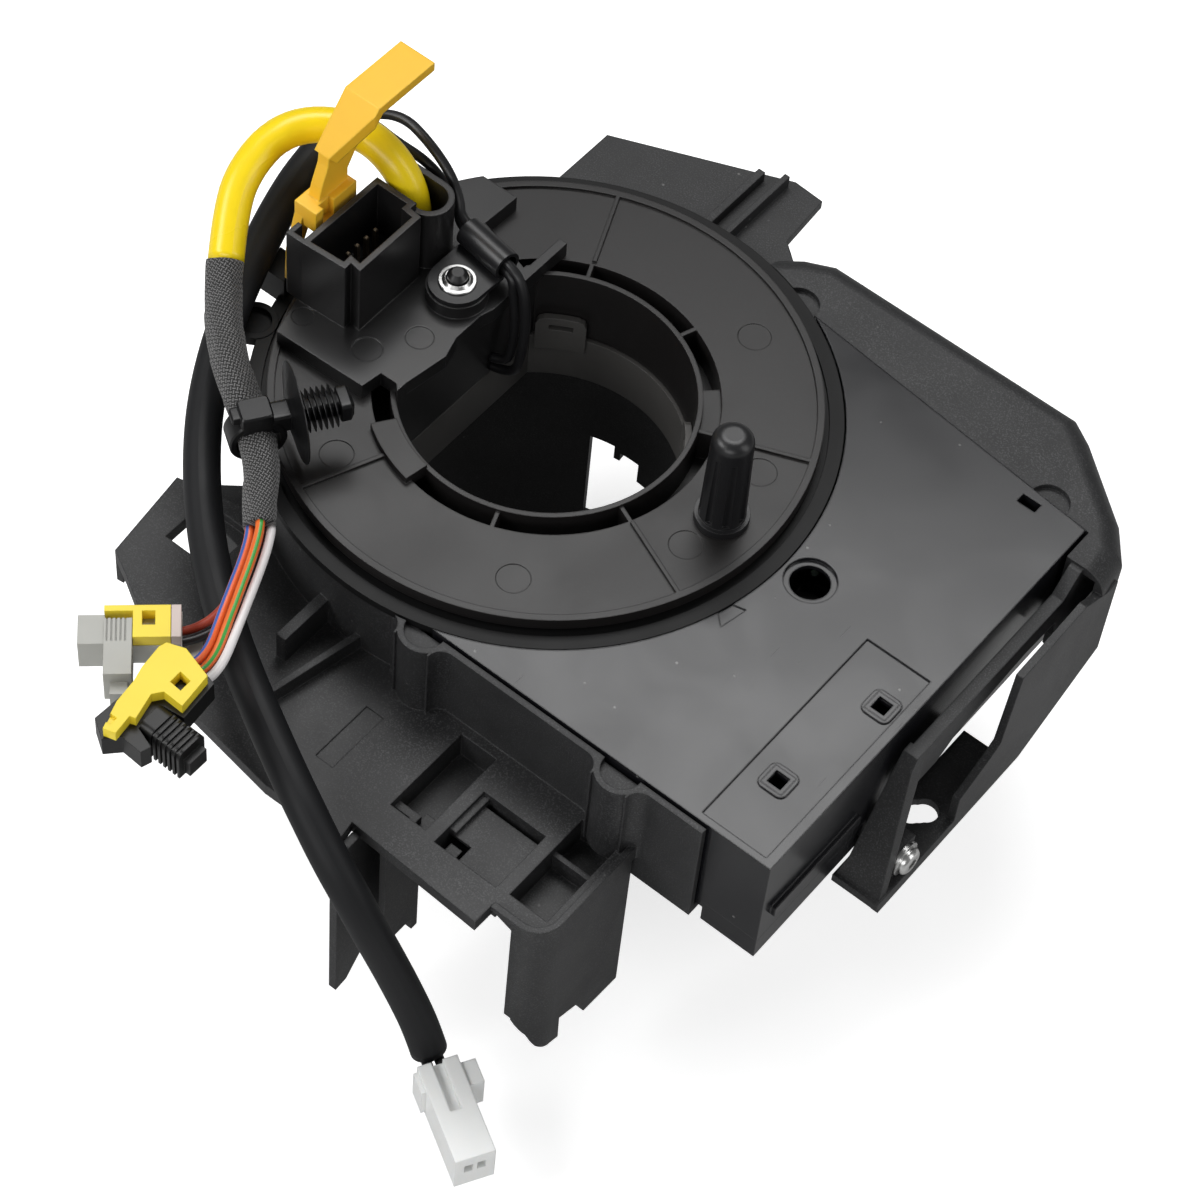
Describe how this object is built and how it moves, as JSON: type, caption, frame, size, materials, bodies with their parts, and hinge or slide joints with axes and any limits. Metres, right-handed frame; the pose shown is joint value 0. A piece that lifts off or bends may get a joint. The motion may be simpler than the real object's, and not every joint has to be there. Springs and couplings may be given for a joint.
{
  "type": "steering clock spring",
  "caption": "Steering-wheel clock spring with angle-sensor box, column bracket, turning rotor with cable harness and plugs, and a pull-out shipping lock.",
  "frame": {"origin": "steering axis at the height of the rotor's rim", "axes": "+Z along the steering axis towards the driver, +X along the sensor box's front edge, +Y along its side; millimetres in the source, metres here"},
  "size_m": [0.1718, 0.1954, 0.125],
  "materials": {
    "black_acetal": "satin",
    "black_abs": "gloss",
    "glass_filled_black": "fine moulded grain",
    "grey_acetal": "satin",
    "natural_acetal": "satin",
    "black_nylon": "satin",
    "lock_yellow": "satin",
    "tube_yellow": "smooth",
    "cloth_tape": "woven",
    "black_sleeve": "satin",
    "wire_black": "satin",
    "wire_orange": "satin",
    "wire_white": "satin",
    "wire_red": "satin",
    "plug_yellow": "satin",
    "plug_black": "satin",
    "plug_grey": "satin",
    "collar_pink": "satin",
    "plug_white": "natural",
    "bronze": "plated",
    "zinc_steel": "zinc plated",
    "ferrite": "sintered",
    "board_green": "solder resist",
    "film": "clear film with tinned tracks"
  },
  "bodies": {
    "housing": {"bracket": "glass_filled_black", "sensor_cover": "black_abs", "sensor_base": "black_abs", "stator": "black_abs", "flat_cable": "film", "circuit_board": "board_green", "header_pins": "zinc_steel", "sensor_chips": "plug_black", "torx_screw": "zinc_steel"},
    "rotor": {"rotor_disc": "black_acetal", "connector_block": "black_acetal", "contact_pins": "bronze", "drive_pin": "black_acetal", "cable_clamp": "black_nylon", "push_washer": "zinc_steel", "cancel_ring": "grey_acetal", "ring_gear": "natural_acetal", "yellow_tube": "tube_yellow", "tape_wrap": "cloth_tape", "sleeve": "black_sleeve", "horn_wire_a": "wire_black", "horn_wire_b": "wire_black", "lead_blue": "wire_orange", "lead_green": "wire_orange", "lead_white": "wire_white", "lead_red": "wire_red", "lead_black": "wire_black", "cable_clip": "black_nylon", "yellow_plug": "plug_black", "yellow_lock": "plug_yellow", "grey_plug": "plug_grey", "grey_lock": "plug_yellow", "grey_collar": "collar_pink", "white_plug": "plug_white", "white_leads": "wire_black"},
    "lock": {"shipping_lock": "lock_yellow"},
    "wheel_a": {"wheel_a": "black_acetal", "magnet_a": "ferrite"},
    "wheel_b": {"wheel_b": "black_acetal", "magnet_b": "ferrite"}
  },
  "joints": [
    {"name": "rotor_turn", "type": "hinge", "parent": "housing", "child": "rotor", "pos_m": [0, 0, 0], "axis": [0, 0, 1], "range_deg": [-720, 720], "deforming": ["sleeve"]},
    {"name": "lock_pull", "type": "slide", "parent": "rotor", "child": "lock", "axis": [0, 0, 1], "range_m": [0, 0.03]},
    {"name": "wheel_a_spin", "type": "hinge", "parent": "housing", "child": "wheel_a", "pos_m": [0.062, 0, -0.02], "axis": [0, 0, 1], "range_deg": [-2500, 2500]},
    {"name": "wheel_b_spin", "type": "hinge", "parent": "housing", "child": "wheel_b", "pos_m": [0.05173, -0.03233, -0.02], "axis": [0, 0, 1], "range_deg": [-2700, 2700]}
  ],
  "couplings": [
    {"joint": "wheel_a_spin", "follows": "rotor_turn", "ratio": -3.4286},
    {"joint": "wheel_b_spin", "follows": "rotor_turn", "ratio": -3.6923}
  ]
}
